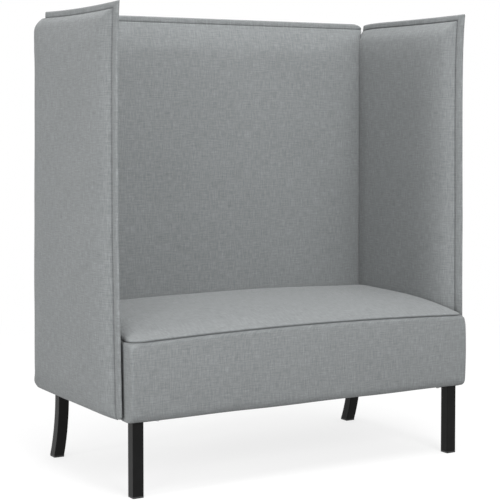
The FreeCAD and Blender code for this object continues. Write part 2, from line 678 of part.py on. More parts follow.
DUST_SHEET = ((f"-{SEAT_HALF} + dust_margin", f"{FRONT} + dust_margin", "underside_height - dust_thick"),
              (f"{SEAT_HALF} - dust_margin", f"{SEAT_REAR} - dust_margin", "underside_height"))
dust_sheet = box("dust_sheet", *DUST_SHEET)
keep("dust_cover", cut("dust_sheet_bored", dust_sheet, screw_bores))

# Legs: square tube welded to a screw plate, the rear pair bent backwards


def tube_outline(front, back, inset, radius):
    edges = (f"-{LEG_OUT}", f"-{LEG_IN}", front, back)
    return rounded(edges, [inset] * 4, [radius] * 4)


def front_tube(name, inset, radius, low, high=PLATE_LOW):
    body = new_body(name)
    outline = tube_outline(FRONT_LEG, f"({FRONT_LEG} + leg_section)", inset, radius)
    pad(body, "XY_Plane", low, f"{high} - {low}", outline)
    return body


def rear_tube(name, inset, radius):
    """The bent tube, carried on below the glide so that it can be cut off level."""
    body = new_body(name)
    middle = "(rear_leg_back - leg_section / 2)"
    bend = f"({HEEL_RADIUS} + leg_section / 2)"
    turn = f"asin(1.15 * {HEEL_DROP} / {bend})"
    path = sketch_in(body, "YZ_Plane", f"-{LEG_OUT} + leg_section / 2", [
        (middle, PLATE_LOW, None),
        (middle, "bend_height", ("out", bend)),
        (f"{middle} + {bend} * (1 - cos({turn}))", f"bend_height - 1.15 * {HEEL_DROP}", None),
    ], closed=False)
    outline = tube_outline("(rear_leg_back - leg_section)", "rear_leg_back", inset, radius)
    pipe(body, sketch_in(body, "XY_Plane", PLATE_LOW, outline), path)
    return body


def plate(name, span):
    return box(name, (f"-{PLATE_OUT}", span[0], PLATE_LOW),
               (f"-{PLATE_IN}", span[1], "underside_height - dust_thick"))


floor_block = box("floor_block", (f"-{FAR}", f"-{FAR}", f"-{FAR}"), (FAR, FAR, "glide_height"))
front_steel = fuse("front_leg_steel", [front_tube("front_tube", "0", "leg_corner", "glide_height"),
                                       plate("front_plate", FRONT_PLATE)])
front_hollow = front_tube("front_hollow", "leg_wall", "0.5", "glide_height")
rear_trimmed = cut("rear_leg_level", rear_tube("rear_tube", "0", "leg_corner"), floor_block)
rear_steel = fuse("rear_leg_steel", [rear_trimmed, plate("rear_plate", REAR_PLATE)])
for name, steel, hollow in (("front_leg", front_steel, front_hollow),
                            ("rear_leg", rear_steel, rear_tube("rear_hollow", "leg_wall", "0.5"))):
    keep_pair(name, cut(f"{name}_bored", cut(f"{name}_tube", steel, hollow), screw_bores_left))

STEM = "(leg_wall + glide_gap)"
STEM_TOP = "(glide_height + glide_stem)"
HEEL_FRONT = (f"(rear_leg_back + {HEEL_RADIUS}"
              f" - sqrt(({HEEL_RADIUS} + leg_section) ^ 2 - {HEEL_DROP} ^ 2))")
FOOT_SPANS = {
    "front": (FRONT_LEG, f"({FRONT_LEG} + leg_section)"),
    "rear": (HEEL_FRONT, "(overall_depth / 2)"),
}


def heel_wall(radius, level):
    """How far back a wall of the bent tube is at a level."""
    return f"(rear_leg_back + {HEEL_RADIUS} - sqrt(({radius}) ^ 2 - (bend_height - {level}) ^ 2))"


def rear_stem(name):
    """The rear glide's stem leans with the bent tube."""
    body = new_body(name)
    front, back = f"{HEEL_RADIUS} + leg_section - {STEM}", f"{HEEL_RADIUS} + {STEM}"
    low, high = "glide_height", STEM_TOP
    outline = [
        (heel_wall(front, low), low, None),
        (heel_wall(back, low), low, None),
        (heel_wall(back, high), high, None),
        (heel_wall(front, high), high, None),
    ]
    pad(body, "YZ_Plane", f"-{LEG_OUT} + {STEM}", f"leg_section - 2 * {STEM}", outline)
    return body


for end, stem in (("front", front_tube("front_stem", STEM, "0.5", "glide_height", STEM_TOP)),
                  ("rear", rear_stem("rear_stem"))):
    foot = new_body(f"{end}_foot")
    pad(foot, "XY_Plane", "0", "glide_height", tube_outline(*FOOT_SPANS[end], "0", "leg_corner"))
    keep_pair(f"{end}_glide", fuse(f"{end}_glide_moulding", [foot, stem]))

# Fasteners
side_bolts = [fuse(f"side_bolt_{n}", [shank, head]) for n, (shank, head) in enumerate(zip(
    side_rods("side_shank", SIDE_RAIL_IN, SIDE_SHANK, "bolt_radius"),
    side_rods("side_head", f"({SIDE_RAIL_IN} - bolt_head_thick)", "bolt_head_thick", "bolt_head_radius")))]
left_bolts = group("left_bolts", side_bolts)
keep("side_bolts", group("side_bolt_set", [left_bolts, mirrored("right_bolts", left_bolts)]))
back_bolts = [fuse(f"back_bolt_{n}", [shank, head]) for n, (shank, head) in enumerate(zip(
    back_rods("back_shank", BACK_SHANK_START, BACK_SHANK, "bolt_radius"),
    back_rods("back_head", f"({BACK_SHANK_START} - bolt_head_thick)", "bolt_head_thick",
              "bolt_head_radius")))]
keep("back_bolts", group("back_bolt_set", back_bolts))
side_nuts = [cut(f"side_nut_{n}", barrel, bore) for n, (barrel, bore) in enumerate(zip(
    side_rods("side_insert", NUT_START, "nut_length", "nut_radius"),
    side_rods("side_thread", NUT_START, "nut_length", "bolt_radius")))]
left_nuts = group("left_nuts", side_nuts)
keep("side_inserts", group("side_insert_set", [left_nuts, mirrored("right_nuts", left_nuts)]))
back_nuts = [cut(f"back_nut_{n}", barrel, bore) for n, (barrel, bore) in enumerate(zip(
    back_rods("back_insert", f"({BACK_NUT_END} - nut_length)", "nut_length", "nut_radius"),
    back_rods("back_thread", f"({BACK_NUT_END} - nut_length)", "nut_length", "bolt_radius")))]
keep("back_inserts", group("back_insert_set", back_nuts))
left_pins = group("left_pins", pin_rods("corner_pin", "pin_radius"))
keep("corner_pins", group("corner_pin_set", [left_pins, mirrored("right_pins", left_pins)]))
screws = [fuse(f"leg_screw_{n}", [shank, head]) for n, (shank, head) in enumerate(zip(
    screw_rods("screw_shank", PLATE_LOW, "screw_length", "screw_radius"),
    screw_rods("screw_head", f"{PLATE_LOW} - screw_head_thick", "screw_head_thick", "screw_head_radius")))]
left_screws = group("left_screws", screws)
keep("leg_screws", group("leg_screw_set", [left_screws, mirrored("right_screws", left_screws)]))

# Checks and export
doc.recompute()
for item in doc.Objects:
    if "Invalid" in item.State or "Error" in item.State:
        raise RuntimeError(f"{item.Name} did not build: {item.State}")
os.makedirs("parts", exist_ok=True)
for name, item in nodes.items():
    if item.Shape.isNull() or not item.Shape.isValid() or item.Shape.Volume <= 0:
        raise RuntimeError(f"{name} has no sound shape")
    item.Shape.exportStep(f"parts/{name}.step")
print(f"{len(nodes)} sub-parts")
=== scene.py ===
"""High-back sofa, dressed: fabric panels with sewn flanges, a crowned seat and black steel legs."""
import json
import math

import bmesh
import bpy
import numpy as np
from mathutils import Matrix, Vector


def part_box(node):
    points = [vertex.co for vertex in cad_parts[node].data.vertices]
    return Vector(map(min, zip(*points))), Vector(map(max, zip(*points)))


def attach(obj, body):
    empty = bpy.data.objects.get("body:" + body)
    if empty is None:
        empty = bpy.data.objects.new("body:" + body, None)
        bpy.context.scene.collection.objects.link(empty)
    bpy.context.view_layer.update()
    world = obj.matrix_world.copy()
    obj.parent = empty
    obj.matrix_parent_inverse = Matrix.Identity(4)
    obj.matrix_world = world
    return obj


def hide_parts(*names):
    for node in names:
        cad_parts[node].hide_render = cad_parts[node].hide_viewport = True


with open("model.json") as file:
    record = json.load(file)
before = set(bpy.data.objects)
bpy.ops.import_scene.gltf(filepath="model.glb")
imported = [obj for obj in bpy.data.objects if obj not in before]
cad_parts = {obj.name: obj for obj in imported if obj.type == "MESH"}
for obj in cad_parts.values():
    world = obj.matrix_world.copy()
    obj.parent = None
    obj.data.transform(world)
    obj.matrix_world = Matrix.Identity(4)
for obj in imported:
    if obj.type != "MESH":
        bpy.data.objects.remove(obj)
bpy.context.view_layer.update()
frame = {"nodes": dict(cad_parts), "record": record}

# Sizes in metres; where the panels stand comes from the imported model
FLANGE_DEPTH = 0.019
FRONT_FLANGE = 0.027
FLANGE_HALF = 0.0065
SEAM_PINCH = 0.45
# How dark the painted shade in the seam grooves is: outer and inner sheets, then the seat's seams
OUTER_SHADE, INNER_SHADE = 0.55, 0.8
SEAT_SEAM_SHADE = 0.75
ROLL = 0.050
ROLL_EXTRA = 0.010
SIDE_CORNER = 0.038
TAPER_FROM = 0.55
OUTER_TAPER, REAR_SOFTEN, REAR_DRAW = 0.007, 0.009, 0.004
SIM_FRAMES = 16
SIM_PRESSURE = 4.0
SIM_MOST = 0.005
STEP = 0.013
SIDE_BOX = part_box("left_cover")
BACK_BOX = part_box("back_cover")
BORDER_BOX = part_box("seat_border_cover")
TOP_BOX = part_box("seat_top_cover")
LOW = SIDE_BOX[0][2]
HIGH = SIDE_BOX[1][2]
SEAM_TOP = HIGH - FLANGE_DEPTH
INNER_SWELL = 0.022
SIDE_PLANE = -(SIDE_BOX[1][0] - INNER_SWELL)
BACK_PLANE = BACK_BOX[0][1] + INNER_SWELL
OUTER_SWELL = BACK_BOX[1][1] - BACK_PLANE

# Offsets from an edge, close together where the cloth turns
TURN = np.array([0, 0.0006, 0.002, 0.0045, 0.008, 0.0125, 0.018, 0.025, 0.034, 0.045, 0.058])
FROM_SEAM = np.array([0, 0.0014, 0.003, 0.006, 0.011, 0.018, 0.027, 0.038, 0.051, 0.066])
FLANGE_SHARES = np.array([0, 0.04, 0.12, 0.26, 0.45, 0.65, 0.82, 0.93])


def rise(distance, reach):
    """A quarter ellipse from 0 at an edge to 1 where the pad has its full height."""
    share = np.clip(distance / reach, 0, 1)
    return np.sqrt(np.clip(1 - (1 - share) ** 2, 0, 1))


def swell(distance, reach):
    """The softer climb of a pad away from its seam."""
    return 1 - np.exp(-np.clip(distance, 0, None) / reach)


def roll(distance):
    """The padded edge beside an inner seam: a nearly even slope, then the flat of the pad."""
    return 1 - (1 - np.clip(distance / ROLL, 0, 1)) ** 1.5


def nearest(*distances):
    """The least of several distances to an edge, without a kink where two are alike."""
    near = [np.clip(distance, 1e-5, None) ** -6.0 for distance in distances]
    return sum(near) ** (-1 / 6)


def between(start, end, lead, tail):
    """Places from start to end: the lead offsets, even steps, then the tail offsets."""
    low, high = start + lead[-1], end - tail[-1]
    middle = np.linspace(low, high, max(int(round((high - low) / STEP)), 2))
    return np.concatenate([start + lead[:-1], middle, end - tail[::-1][1:]])


def mesh_piece(name, sheets, material, depth=0.0):
    """One mesh from grids of points, each (points, texture places, flipped, painted seam shade, held)."""
    points, faces, places, painted_seam_shades, fixed = [], [], [], [], []
    for grid, uv, flipped, painted_seam_shade, held in sheets:
        rows, columns = grid.shape[:2]
        first = len(points)
        points.extend(grid.reshape(-1, 3))
        places.extend(uv.reshape(-1, 2))
        painted_seam_shades.extend(painted_seam_shade.reshape(-1))
        fixed.extend(held.reshape(-1))
        index = first + np.arange(rows * columns).reshape(rows, columns)
        quads = np.stack([index[:-1, :-1], index[:-1, 1:], index[1:, 1:], index[1:, :-1]], axis=-1)
        quads = quads.reshape(-1, 4)
        faces.extend((quads[:, ::-1] if flipped else quads).tolist())
    mesh = bpy.data.meshes.new(name)
    mesh.from_pydata([tuple(p) for p in points], [], faces)
    layer = mesh.uv_layers.new(name="cloth")
    corner = np.empty(len(mesh.loops), dtype=np.int32)
    mesh.loops.foreach_get("vertex_index", corner)
    layer.data.foreach_set("uv", np.array(places, dtype=np.float32)[corner].ravel())
    # Per-point painted shade for the seam grooves, and where the cloth is held
    for key, numbers in (("painted_seam_shade", painted_seam_shades), ("held", fixed)):
        attribute = mesh.attributes.new(key, "FLOAT", "POINT")
        attribute.data.foreach_set("value", np.array(numbers, dtype=np.float32))
    work = bmesh.new()
    work.from_mesh(mesh)
    bmesh.ops.remove_doubles(work, verts=work.verts, dist=1e-5)
    bmesh.ops.dissolve_degenerate(work, edges=work.edges, dist=1e-6)
    bmesh.ops.recalc_face_normals(work, faces=work.faces)
    middle = sum((v.co for v in work.verts), Vector()) / len(work.verts) - Vector((0, 0, depth))
    if sum(f.calc_area() * f.normal.dot(f.calc_center_median() - middle) for f in work.faces) < 0:
        bmesh.ops.reverse_faces(work, faces=work.faces)
    work.to_mesh(mesh)
    work.free()
    mesh.polygons.foreach_set("use_smooth", np.ones(len(mesh.polygons), dtype=bool))
    mesh.materials.append(material)
    piece = bpy.data.objects.new(name, mesh)
    bpy.context.scene.collection.objects.link(piece)
    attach(piece, "root")
    return piece


# Materials

def node_material(name):
    material = bpy.data.materials.new(name)
    material.use_nodes = True
    nodes = material.node_tree.nodes
    return material, nodes, material.node_tree.links, nodes["Principled BSDF"]


def noise(nodes, links, vector, scale, detail=2.0, roughness=0.5):
    texture = nodes.new("ShaderNodeTexNoise")
    texture.inputs["Scale"].default_value = scale
    texture.inputs["Detail"].default_value = detail
    texture.inputs["Roughness"].default_value = roughness
    links.new(vector, texture.inputs["Vector"])
    return texture.outputs["Fac"]


def stretched(nodes, links, vector, scale):
    mapping = nodes.new("ShaderNodeMapping")
    mapping.inputs["Scale"].default_value = scale
    links.new(vector, mapping.inputs["Vector"])
    return mapping.outputs["Vector"]


def math_node(nodes, links, operation, first, second):
    node = nodes.new("ShaderNodeMath")
    node.operation = operation
    for socket, source in zip(node.inputs, (first, second)):
        if isinstance(source, (int, float)):
            socket.default_value = source
        else:
            links.new(source, socket)
    return node.outputs["Value"]


def ramp(nodes, links, factor, stops):
    node = nodes.new("ShaderNodeValToRGB")
    elements = node.color_ramp.elements
    elements[0].position, elements[0].color = stops[0][0], (*stops[0][1], 1)
    elements[1].position, elements[1].color = stops[-1][0], (*stops[-1][1], 1)
    for place, colour in stops[1:-1]:
        elements.new(place).color = (*colour, 1)
    links.new(factor, node.inputs["Fac"])
    return node.outputs["Color"]


def bump(nodes, links, height, shader, strength, distance):
    node = nodes.new("ShaderNodeBump")
    node.inputs["Strength"].default_value = strength
    node.inputs["Distance"].default_value = distance
    links.new(height, node.inputs["Height"])
    links.new(node.outputs["Normal"], shader.inputs["Normal"])


THREAD = 0.0013
FABRIC_DARK = (0.111, 0.1176, 0.1190)
FABRIC_MIDDLE = (0.165, 0.174, 0.1762)
FABRIC_LIGHT = (0.237, 0.2500, 0.2530)


def fabric_material():
    """Plain-woven wool mix: pale and dark yarns, slubs along both thread directions, and painted shade
    darkening the seams' grooves.
    """
    material, nodes, links, shader = node_material("woven_upholstery")
    coordinates = nodes.new("ShaderNodeUVMap")
    coordinates.uv_map = "cloth"
    uv = coordinates.outputs["UV"]
    warp = noise(nodes, links, stretched(nodes, links, uv, (300, 30, 1)), 1.0, 3.0, 0.6)
    weft = noise(nodes, links, stretched(nodes, links, uv, (30, 300, 1)), 1.0, 3.0, 0.6)
    fleck = noise(nodes, links, stretched(nodes, links, uv, (300, 300, 1)), 1.0, 2.0, 0.6)
    cloud = noise(nodes, links, stretched(nodes, links, uv, (5, 5, 1)), 1.0, 2.0)
    yarn = math_node(nodes, links, "ADD", math_node(nodes, links, "MULTIPLY", warp, 0.42),
                     math_node(nodes, links, "MULTIPLY", weft, 0.38))
    yarn = math_node(nodes, links, "ADD", yarn, math_node(nodes, links, "MULTIPLY", fleck, 0.14))
    yarn = math_node(nodes, links, "ADD", yarn, math_node(nodes, links, "MULTIPLY", cloud, 0.06))
    colour = ramp(nodes, links, yarn, [(0.30, FABRIC_DARK), (0.50, FABRIC_MIDDLE), (0.70, FABRIC_LIGHT)])
    # Painted shade: the cloth colour is mixed towards near-black along the seam grooves, by the per-point
    # amount from the mesh
    painted_seam_shade = nodes.new("ShaderNodeAttribute")
    painted_seam_shade.attribute_name = "painted_seam_shade"
    shade = nodes.new("ShaderNodeMix")
    shade.data_type = "RGBA"
    shade.inputs["B"].default_value = (0.03, 0.032, 0.034, 1)
    links.new(painted_seam_shade.outputs["Fac"], shade.inputs["Factor"])
    links.new(colour, shade.inputs["A"])
    links.new(shade.outputs["Result"], shader.inputs["Base Color"])
    weave = []
    for direction in ("X", "Y"):
        wave = nodes.new("ShaderNodeTexWave")
        wave.bands_direction = direction
        wave.inputs["Scale"].default_value = 0.314 / THREAD
        wave.inputs["Distortion"].default_value = 0.6
        links.new(uv, wave.inputs["Vector"])
        weave.append(wave.outputs["Fac"])
    threads = math_node(nodes, links, "MULTIPLY", *weave)
    height = math_node(nodes, links, "ADD", threads, math_node(nodes, links, "MULTIPLY", fleck, 0.8))
    bump(nodes, links, height, shader, 0.35, 0.0006)
    shader.inputs["Roughness"].default_value = 0.92
    shader.inputs["Specular IOR Level"].default_value = 0.2
    shader.inputs["Sheen Weight"].default_value = 0.12
    shader.inputs["Sheen Roughness"].default_value = 0.5
    return material


def object_vector(nodes):
    return nodes.new("ShaderNodeTexCoord").outputs["Object"]


def powder_coat_material():
    material, nodes, links, shader = node_material("black_powder_coat")
    vector = object_vector(nodes)
    grain = noise(nodes, links, vector, 1400, 2.0)
    haze = noise(nodes, links, vector, 30, 3.0)
    links.new(ramp(nodes, links, haze, [(0.3, (0.003, 0.003, 0.003)), (0.7, (0.005, 0.005, 0.005))]),
              shader.inputs["Base Color"])
    shader.inputs["Specular IOR Level"].default_value = 0.12
    links.new(ramp(nodes, links, grain, [(0.3, (0.28, 0.28, 0.28)), (0.7, (0.38, 0.38, 0.38))]),
              shader.inputs["Roughness"])
    bump(nodes, links, grain, shader, 0.18, 0.0003)
    return material


def grained_material(name, scale, colours, roughness, depth):
    """Timber, board or foam: streaks or cells of a given scale along the three axes."""
    material, nodes, links, shader = node_material(name)
    field = noise(nodes, links, stretched(nodes, links, object_vector(nodes), scale), 1.0, 4.0, 0.6)
    links.new(ramp(nodes, links, field, [(0.3, colours[0]), (0.7, colours[1])]), shader.inputs["Base Color"])
    bump(nodes, links, field, shader, 0.3, depth)
    shader.inputs["Roughness"].default_value = roughness
    return material


def metal_material():
    material, nodes, links, shader = node_material("zinc_plate")
    field = noise(nodes, links, object_vector(nodes), 220, 3.0)
    links.new(ramp(nodes, links, field, [(0.3, (0.45, 0.46, 0.47)), (0.7, (0.62, 0.62, 0.61))]),
              shader.inputs["Base Color"])
    links.new(ramp(nodes, links, field, [(0.3, (0.28, 0.28, 0.28)), (0.7, (0.45, 0.45, 0.45))]),
              shader.inputs["Roughness"])
    shader.inputs["Metallic"].default_value = 1.0
    return material


fabric = fabric_material()
coat = powder_coat_material()
timber = grained_material("frame_pine", (90, 90, 9),
                          [(0.36, 0.22, 0.11), (0.60, 0.42, 0.24)], 0.7, 0.0004)
board = grained_material("hardboard", (260, 260, 260),
                         [(0.20, 0.11, 0.055), (0.30, 0.18, 0.10)], 0.75, 0.0002)
foam = grained_material("foam_cells", (500, 500, 500),
                        [(0.70, 0.64, 0.46), (0.86, 0.81, 0.64)], 0.95, 0.0006)
strap = grained_material("webbing_strap", (700, 60, 60),
                         [(0.10, 0.09, 0.075), (0.24, 0.21, 0.17)], 0.9, 0.0005)
dust_fabric = grained_material("dust_cloth", (900, 900, 900),
                               [(0.012, 0.012, 0.012), (0.035, 0.035, 0.036)], 0.95, 0.0003)
plastic = grained_material("glide_plastic", (600, 600, 600),
                           [(0.010, 0.010, 0.010), (0.022, 0.022, 0.022)], 0.55, 0.0001)
zinc = metal_material()
BY_SLOT = {
    "upholstery_fabric": fabric, "foam": foam, "hardboard": board, "frame_timber": timber, "webbing": strap,
    "dust_cloth": dust_fabric, "black_powder_coat": coat, "glide_plastic": plastic, "zinc_steel": zinc,
}
for part in frame["record"]["subparts"]:
    shown = frame["nodes"][part["node"]]
    shown.data.materials.clear()
    shown.data.materials.append(BY_SLOT[part["material_slot"]])


# Upholstered panels

def ripple(first, second, wave, height, phase):
    """Small uneven waves of stretched cloth."""
    return height * (np.sin(first / wave + phase) * np.sin(second / (1.7 * wave) + 2 * phase)
                     + 0.6 * np.sin((first + 1.3 * second) / (0.63 * wave) + 3 * phase))


def seam_groove(distance, width=0.0013):
    return np.exp(-(distance / width) ** 2)


def panel_rows():
    """Heights of a panel's rows, and how far out each lies in the top flange, from 0 to 1."""
    body = between(LOW, SEAM_TOP, TURN, FROM_SEAM)
    rows = np.concatenate([body, np.full(len(FLANGE_SHARES), SEAM_TOP)])
    return rows, np.concatenate([np.zeros(len(body)), 1 - FLANGE_SHARES[::-1]])


def side_panel(name, sign, flange_end, sag, lift, droop, lean, foot):
    """A side panel's cover: flange along the front and top, plain rolled edges behind and below."""
    tip, rear = SIDE_BOX[0][1], SIDE_BOX[1][1]
    seam_front = tip + FRONT_FLANGE
    body_columns = between(seam_front, rear, FROM_SEAM, TURN)
    columns = np.concatenate([np.full(len(FLANGE_SHARES), seam_front), body_columns])
    out_front = np.concatenate([1 - FLANGE_SHARES, np.zeros(len(body_columns))])
    rows, out_top = panel_rows()
    along, up = np.meshgrid(columns, rows)
    front_share, top_share = np.meshgrid(out_front, out_top)

    # Places on the panel, its rear corners rounded, and distances from its edges
    past_corner = np.clip(along - (rear - SIDE_CORNER), 0, SIDE_CORNER)
    eased = SIDE_CORNER - np.sqrt(np.clip(SIDE_CORNER ** 2 - past_corner ** 2, 0, None))
    body_height = SEAM_TOP - LOW - 2 * eased
    height = LOW + eased + (up - LOW) / (SEAM_TOP - LOW) * body_height
    top_depth = FLANGE_DEPTH * rise(np.clip(flange_end - along, 0, None), 0.008)
    front_depth = FRONT_FLANGE * rise(height - LOW - 0.002, 0.014)
    climb = height + top_share * top_depth
    behind, inside = rear - along, along - seam_front
    below, under = height - LOW - eased, LOW + eased + body_height - height
    taper = np.clip((climb - TAPER_FROM) / (HIGH - TAPER_FROM), 0, 1)
    place = along - front_share * front_depth - REAR_DRAW * taper * np.exp(-behind / 0.05)

    # How far the pad is closed by its edges, and the pinched seams, whose grooves also get painted shade
    has_top = rise(np.clip(flange_end + 0.004 - along, 0, None), 0.03)
    closed = rise(behind, 0.036 + REAR_SOFTEN * taper) * rise(below, 0.03)
    top_close = has_top + (1 - has_top) * rise(under, 0.036)
    in_front, in_top = front_share > 0, top_share > 0
    in_flange = in_front | in_top
    inner_seam = np.where(in_flange, 0, nearest(inside, under))
    outer_seam = np.where(in_flange, 0, nearest(0.6 * inside, under))
    groove = np.maximum.reduce([
        seam_groove(inside) * ~in_flange,
        seam_groove(under) * ~in_flange * has_top,
        seam_groove(front_share * front_depth) * (in_front & ~in_top),
        seam_groove(top_share * top_depth) * (in_top & ~in_front) * has_top,
    ])
    flange_edge = rise(1 - front_share, 0.22) * rise(1 - top_share, 0.22)
    thin = FLANGE_HALF * flange_edge * (1 - SEAM_PINCH * groove)
    curved = thin * (1 - front_share ** 2)

    # How the cover hangs: drawn back in front, sagging along the top, leaning at the front flange
    drawn = 0.015 * (1 - np.exp(-(HIGH - climb) / 0.10)) - 0.013 * np.exp(-(climb - LOW) / 0.25)
    fade = np.clip(1 - inside / (rear - seam_front), 0, 1) ** 2
    near_top = np.clip((climb - LOW) / (HIGH - LOW), 0, 1) ** 4
    run = np.clip((place - tip) / (flange_end - tip), 0, 1)
    end_droop = droop * np.exp(-np.abs(flange_end - place) / 0.035)
    settled = climb + near_top * (lift - sag * 4 * run * (1 - run) - end_droop)
    settled = settled + foot * np.exp(-(climb - LOW) / 0.05 - (place - tip) / 0.06)
    leaned = np.interp(climb, [0.40, 0.75, HIGH], lean) * np.exp(-(place - tip) / 0.08)

    outer, inner = OUTER_SWELL - OUTER_TAPER * taper, INNER_SWELL + ROLL_EXTRA
    held = in_flange | (inner_seam < ROLL) | (closed < 0.7)
    uv = np.stack([place, climb], axis=-1)
    sheets = []
    for full, outward, base, body, shade, limit in (
            (outer, 1, thin, swell(outer_seam, 0.013), OUTER_SHADE, outer + 0.002),
            (inner, -1, curved, roll(inner_seam), INNER_SHADE, inner - leaned)):
        padded = (base + (full - FLANGE_HALF) * body) * closed * top_close
        padded = padded + ripple(place, climb, 0.085, 0.0007, sign + outward) * body * closed
        across = sign * (SIDE_PLANE - leaned + outward * np.minimum(padded, limit))
        points = np.stack([across, place + drawn * fade, settled], axis=-1)
        # Painted shade along the seam grooves, stronger on the inner sheet
        sheets.append((points, uv, sign * outward > 0, shade * groove, held))
    return mesh_piece(name, sheets, fabric)


def back_panel(name):
    """The back cover: flange along the top with rounded ends that turn down into the corners."""
    half = -BORDER_BOX[0][0]
    ear = BACK_BOX[1][0] - half
    columns = between(-half, half, TURN, TURN)
    rows, out_top = panel_rows()
    along, up = np.meshgrid(columns, rows)
    top_share = np.repeat(out_top[:, None], len(columns), axis=1)
    side = half - np.abs(along)
    end_turn = 0.032
    top_depth = FLANGE_DEPTH * rise(side, end_turn)
    climb = up + top_share * top_depth
    widen = np.clip((climb - (HIGH - 0.05)) / 0.024, 0, 1)
    place = along + np.sign(along) * ear * widen * np.clip(1 - side / 0.06, 0, 1)
    below, under = up - LOW, SEAM_TOP - up
    flange_edge = rise(1 - top_share, 0.22)
    in_flange = top_share > 0
    groove = np.where(in_flange, seam_groove(top_share * top_depth), seam_groove(under))
    thin = FLANGE_HALF * flange_edge * (1 - SEAM_PINCH * groove) * rise(side, 0.006)
    sheets = []
    for full, outward, body, end_reach, limit in (
            (OUTER_SWELL, 1, swell(under, 0.013), 0.04, OUTER_SWELL + 0.002),
            (INNER_SWELL, -1, roll(under), 0.055, INNER_SWELL)):
        ends = rise(side, end_reach)
        padded = np.where(in_flange, thin, thin + (full - FLANGE_HALF) * body * ends * rise(below, 0.03))
        padded = padded + ripple(place, climb, 0.09, 0.0008, outward) * body * ends * rise(below, 0.03)
        padded = np.minimum(padded, limit) * rise(below, 0.01)
        depth = BACK_PLANE + outward * padded
        points = np.stack([place, depth, climb], axis=-1)
        held = in_flange | (groove > 0.05) | (ends * rise(below, 0.03) < 0.7)
        uv = np.stack([place, climb], axis=-1)
        # Faint painted shade along the top seam's groove, fading out towards the ends
        sheets.append((points, uv, outward > 0, 0.04 * groove * rise(side, 0.02), held))
    return mesh_piece(name, sheets, fabric)


# Seat: a border band with a dome of cloth sewn to its top edge

SEAT_HALF = BORDER_BOX[1][0]
SEAT_FRONT = BORDER_BOX[0][1]
SEAT_REAR = BORDER_BOX[1][1]
SEAM_CORNER, SEAM_RISE = 0.446, 0.013
SEAM_INSET = 0.0035
CROWN = 0.041
LEFT_SPREAD, RIGHT_SPREAD = 0.0095, 0.004
BAND_HEIGHT = 0.22


def seam_level(across):
    return SEAM_CORNER + SEAM_RISE * (1 - (across / SEAT_HALF) ** 2)


def front_spread(across, along):
    """How far the seat's sides stand out in front, where they press against the panels' flanges."""
    ends = np.interp(across, [-SEAT_HALF, 0, SEAT_HALF], [-LEFT_SPREAD, 0, RIGHT_SPREAD])
    return ends * np.interp(along - SEAT_FRONT, [0.055, 0.11], [1, 0])


def plan_ring(inset, side_inset, radius):
    """Points round the seat's outline, the front corners rounded, starting behind on the left."""
    left, right = -SEAT_HALF + side_inset, SEAT_HALF - side_inset
    front, rear = SEAT_FRONT + inset, SEAT_REAR - side_inset
    angles = np.linspace(0, math.pi / 2, 9)
    cosine, sine = radius * np.cos(angles), radius * np.sin(angles)
    side = np.linspace(rear, front + radius, 42)[:-1]
    ring = [np.stack([np.full_like(side, left), side], axis=-1)]
    ring.append(np.stack([left + radius - cosine, front + radius - sine], axis=-1))
    base = np.linspace(left + radius, right - radius, 86)[1:-1]
    ring.append(np.stack([base, np.full_like(base, front)], axis=-1))
    ring.append(np.stack([right - radius + sine, front + radius - cosine], axis=-1))
    ring.append(np.stack([np.full_like(side, right), side[::-1]], axis=-1))
    return np.concatenate(ring)


def seat_border(name):
    """The upright band: nearly square corners below, easing into the rounded seam above."""
    bottom = BORDER_BOX[0][2] - 0.0045
    shares = np.concatenate([TURN[:9] / BAND_HEIGHT, np.linspace(0.18, 0.94, 12), [0.965, 0.985, 0.996, 1.0]])
    rings, uvs, painted_seam_shades = [], [], []
    for share in shares:
        off = share * BAND_HEIGHT
        radius = 0.009 + 0.030 * (1 - float(rise(BAND_HEIGHT - off, 0.030)))
        tuck = 0.020 * (1 - float(rise(off, 0.022)))
        pinch = 0.0035 * math.exp(-((1 - share) * BAND_HEIGHT / 0.004) ** 2)
        bulge = 0.006 * math.sin(math.pi * share) ** 0.7
        ring = plan_ring(tuck + pinch - bulge + 0.0025, pinch, radius)
        ring[:, 0] += front_spread(ring[:, 0], ring[:, 1])
        across, along = ring[:, 0], ring[:, 1]
        level = bottom + share * (seam_level(across) - bottom)
        level = level + 0.0006 * np.sin(across * 17) * (1 - share) ** 3
        rings.append(np.stack([across, along, level], axis=-1))
        length = np.concatenate([[0], np.cumsum(np.linalg.norm(np.diff(ring, axis=0), axis=1))])
        uvs.append(np.stack([length, level], axis=-1))
        # Painted shade in a thin line along the seam at the band's top edge
        seam_shade_falloff = math.exp(-((1 - share) * BAND_HEIGHT / 0.0022) ** 2)
        painted_seam_shades.append(np.full(len(ring), SEAT_SEAM_SHADE * seam_shade_falloff))
    hem = plan_ring(0.035, 0.035, 0.009)
    rings.insert(0, np.stack([hem[:, 0], hem[:, 1], np.full(len(hem), bottom)], axis=-1))
    uvs.insert(0, uvs[0] - [0, 0.03])
    painted_seam_shades.insert(0, np.zeros(len(hem)))
    painted_seam_shades = np.array(painted_seam_shades)
    return mesh_piece(name, [(np.array(rings), np.array(uvs), False, painted_seam_shades, painted_seam_shades >= 0)], fabric)


